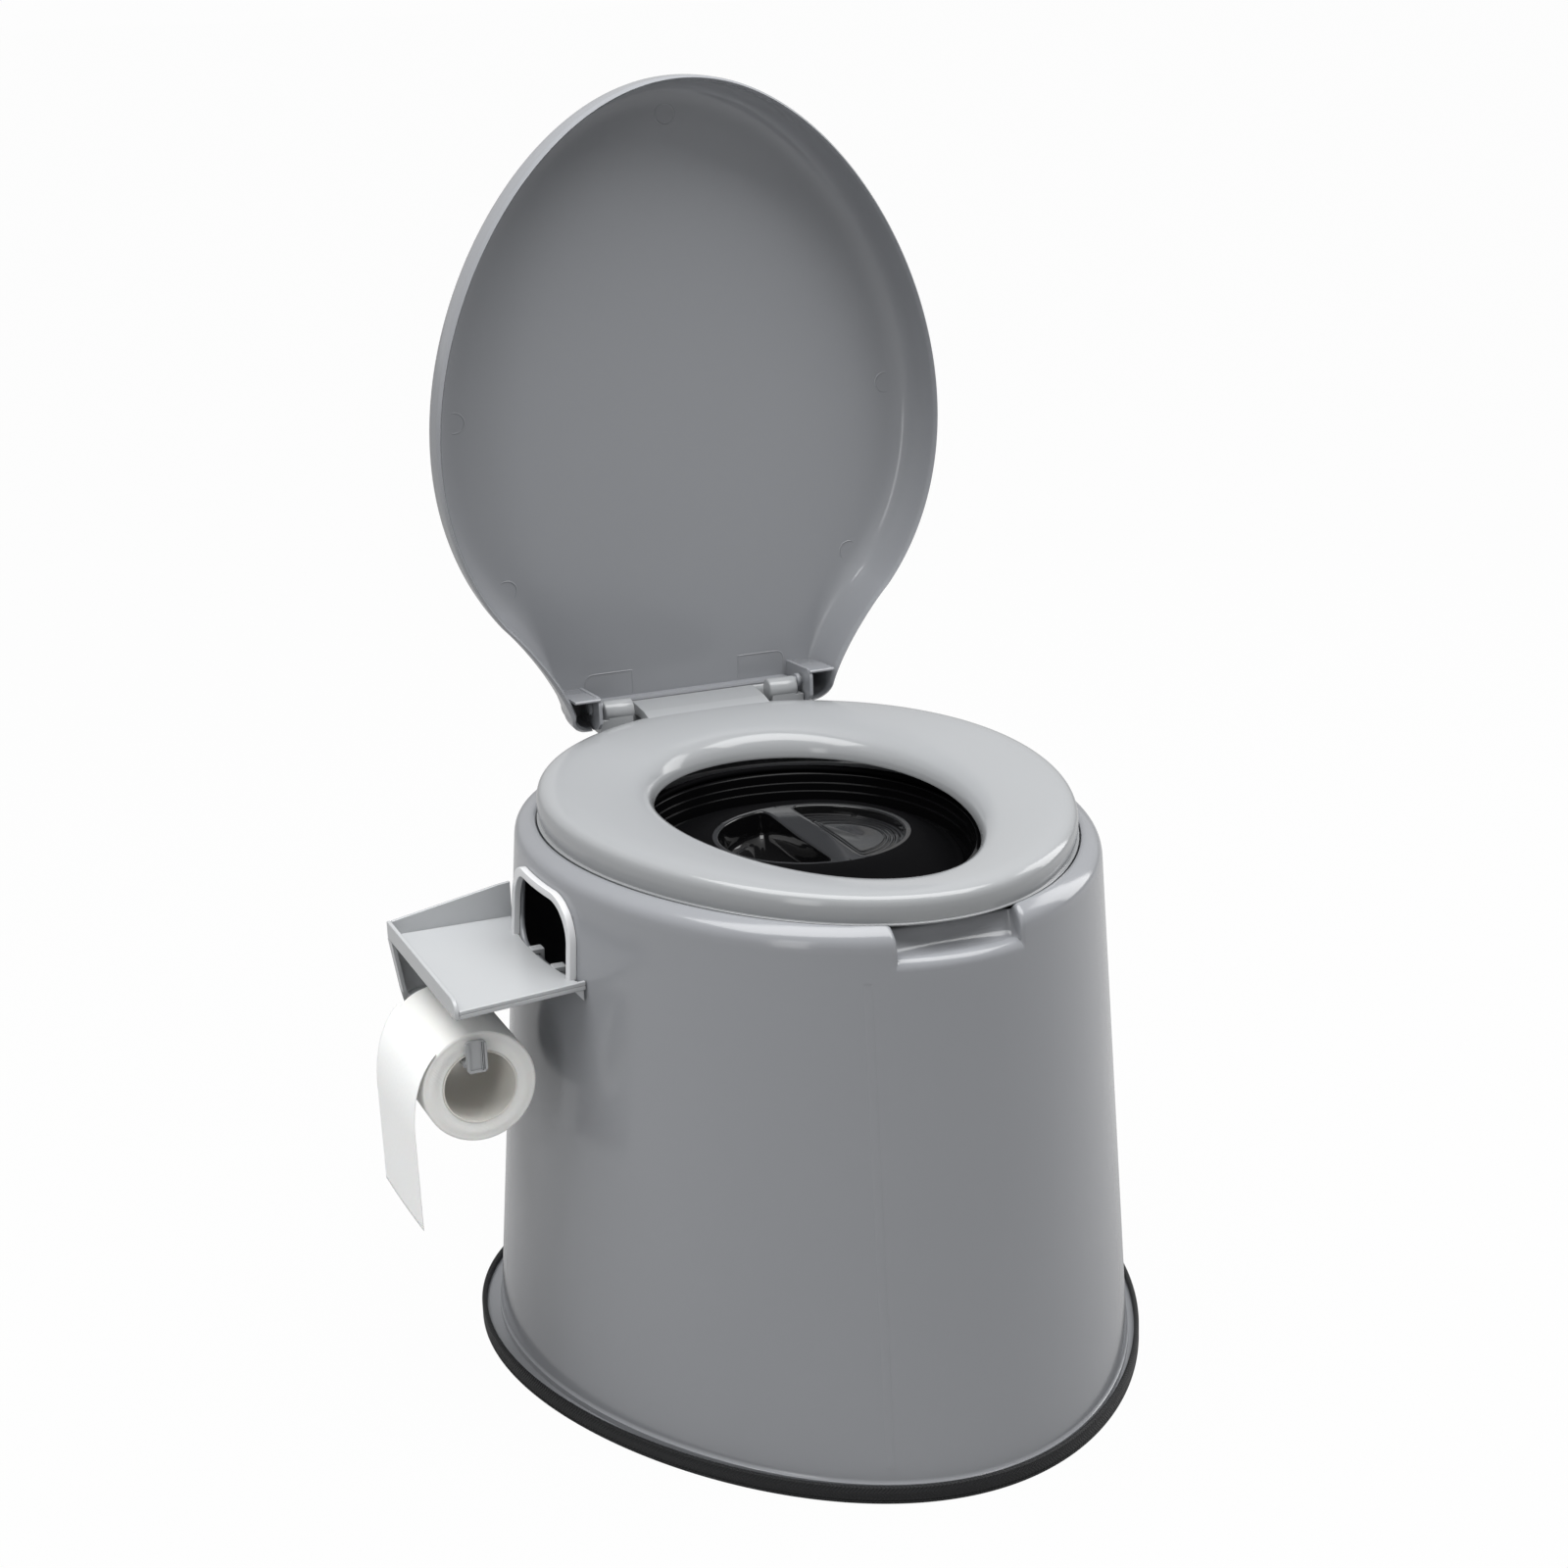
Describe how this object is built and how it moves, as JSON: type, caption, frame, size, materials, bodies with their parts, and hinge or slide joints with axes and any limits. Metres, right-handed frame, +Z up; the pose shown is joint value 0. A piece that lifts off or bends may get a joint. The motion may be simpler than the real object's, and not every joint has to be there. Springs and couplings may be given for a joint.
{
  "type": "portable bucket toilet",
  "caption": "Free-standing camping toilet: tapered shell, lift-off seat with hinged lid, inner bucket, side tray and paper roll holder.",
  "frame": {"origin": "middle of the base ring on the floor", "axes": "+Z up, front towards -Y, the side holder on the -X side"},
  "size_m": [0.4748, 0.479, 0.7661],
  "materials": {
    "shell_grey": "moulded mid-grey plastic, semi-gloss",
    "seat_grey": "polished mid-grey plastic",
    "hinge_grey": "moulded grey plastic, satin",
    "bucket_black": "black plastic, glossy",
    "edge_rubber": "black rubber with a fine woven emboss",
    "holder_grey": "light grey plastic, semi-gloss",
    "core_board": "pale board",
    "tissue": "soft white tissue"
  },
  "bodies": {
    "body": {"body_shell": "shell_grey", "base_edge_strip": "edge_rubber"},
    "seat": {"seat_ring": "seat_grey", "seat_hinge_block": "hinge_grey"},
    "lid": {"lid_shell": "shell_grey", "lid_ear_left": "hinge_grey", "lid_ear_right": "hinge_grey", "hinge_pin_left": "hinge_grey", "hinge_pin_right": "hinge_grey"},
    "bucket": {"bucket": "bucket_black", "bucket_lug_left": "bucket_black", "bucket_lug_right": "bucket_black"},
    "bucket_cover": {"bucket_lid": "bucket_black"},
    "bail": {"bucket_bail": "bucket_black"},
    "holder": {"holder_back_frame": "holder_grey", "holder_hooks": "holder_grey", "holder_tray": "holder_grey", "holder_outer_wall": "holder_grey", "roll_arm": "holder_grey", "paper_tail": "tissue"},
    "roll": {"roll_core": "core_board", "paper_roll": "tissue"}
  },
  "joints": [
    {"name": "seat_lift", "type": "slide", "parent": "body", "child": "seat", "axis": [0, 0, 1], "range_m": [0, 0.3]},
    {"name": "lid_hinge", "type": "hinge", "parent": "seat", "child": "lid", "pos_m": [0, 0.182, 0.3685], "axis": [1, 0, 0], "range_deg": [0, 90.2]},
    {"name": "bucket_lift", "type": "slide", "parent": "body", "child": "bucket", "axis": [0, 0, 1], "range_m": [0, 0.105]},
    {"name": "bucket_lid_lift", "type": "slide", "parent": "bucket", "child": "bucket_cover", "axis": [0, 0, 1], "range_m": [0, 0.03]},
    {"name": "bail_swing", "type": "hinge", "parent": "bucket", "child": "bail", "pos_m": [0, -0.014, 0.3313], "axis": [1, 0, 0], "range_deg": [0, 80]},
    {"name": "holder_unhook", "type": "slide", "parent": "body", "child": "holder", "axis": [0, 0, 1], "range_m": [0, 0.016]},
    {"name": "roll_spin", "type": "hinge", "parent": "holder", "child": "roll", "pos_m": [-0.227, -0.006, 0.219], "axis": [0, 1, 0], "continuous": true}
  ],
  "couplings": [
    {"joint": "bucket_lift", "follows": "seat_lift", "ratio": 0.35},
    {"joint": "bucket_lid_lift", "follows": "seat_lift", "ratio": 0.1},
    {"joint": "bail_swing", "follows": "seat_lift", "rad_per_m": 4.65}
  ]
}
